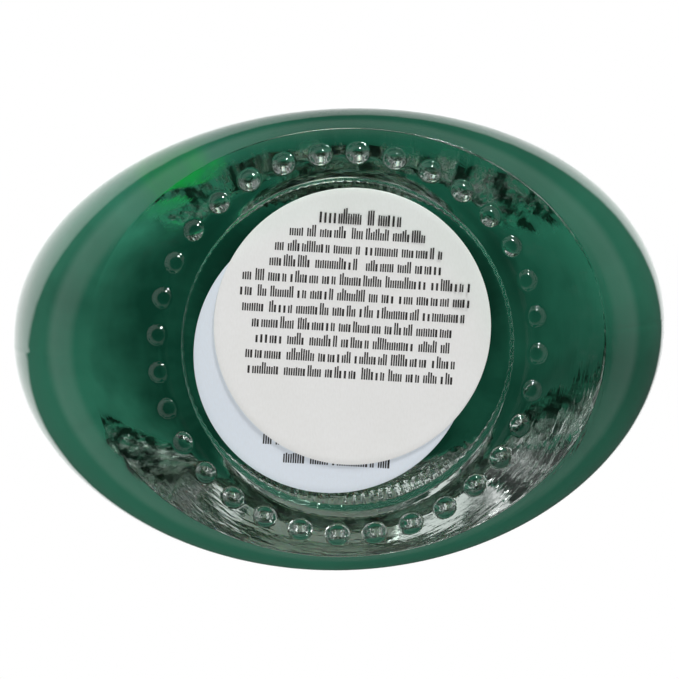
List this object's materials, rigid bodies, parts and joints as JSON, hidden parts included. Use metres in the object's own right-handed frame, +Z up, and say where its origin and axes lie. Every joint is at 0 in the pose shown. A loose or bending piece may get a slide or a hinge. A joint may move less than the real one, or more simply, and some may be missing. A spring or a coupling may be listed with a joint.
{
  "type": "nail polish bottle",
  "caption": "Oval glass nail polish bottle with a round stippled foot, full of lacquer, closed by a round screw cap that carries the brush.",
  "frame": {"origin": "on the standing plane, at the middle of the round foot, on the axis of the neck and the cap", "axes": "+Z up the neck to the cap, +X along the long side of the oval body, +Y along its short side"},
  "size_m": [0.044, 0.0306, 0.072],
  "materials": {
    "glass": "clear moulded glass, fire polished, fine mould seam",
    "lacquer": "dark green liquid lacquer, glossy",
    "under_label": "bluish-white coated paper sticker",
    "top_label": "white paper sticker with black print",
    "ball_steel": "polished stainless steel",
    "foam": "white closed-cell foam",
    "natural_plastic": "natural polypropylene, satin",
    "cap_plastic": "black moulded plastic, glossy",
    "staple_metal": "bright flat wire",
    "filaments": "black nylon filaments, satin"
  },
  "bodies": {
    "bottle": {"glass_bottle": "glass", "nail_lacquer": "lacquer", "shade_label": "under_label", "ingredients_label": "top_label"},
    "ball_1": {"mixing_ball_1": "ball_steel"},
    "ball_2": {"mixing_ball_2": "ball_steel"},
    "liner": {"sealing_washer": "foam"},
    "applicator": {"inner_cap": "natural_plastic", "cap_shell": "cap_plastic", "brush_stem": "natural_plastic", "tuft_staple": "staple_metal", "brush_tuft": "filaments"}
  },
  "joints": [
    {"name": "cap_rise", "type": "slide", "parent": "bottle", "child": "liner", "axis": [0, 0, 1], "range_m": [0, 0.04446]},
    {"name": "cap_turn", "type": "hinge", "parent": "liner", "child": "applicator", "pos_m": [0, 0, 0.0472], "axis": [0, 0, 1], "range_deg": [0, 7560]},
    {"name": "ball_1_roll", "type": "hinge", "parent": "bottle", "child": "ball_1", "pos_m": [0, 0, 0.00725], "axis": [0, 0, 1], "range_deg": [-65, 65]},
    {"name": "ball_2_roll", "type": "hinge", "parent": "bottle", "child": "ball_2", "pos_m": [0, 0, 0.00725], "axis": [0, 0, 1], "range_deg": [-65, 65]}
  ],
  "couplings": [
    {"joint": "cap_rise", "follows": "cap_turn", "m_per_rad": 0.00033693}
  ]
}
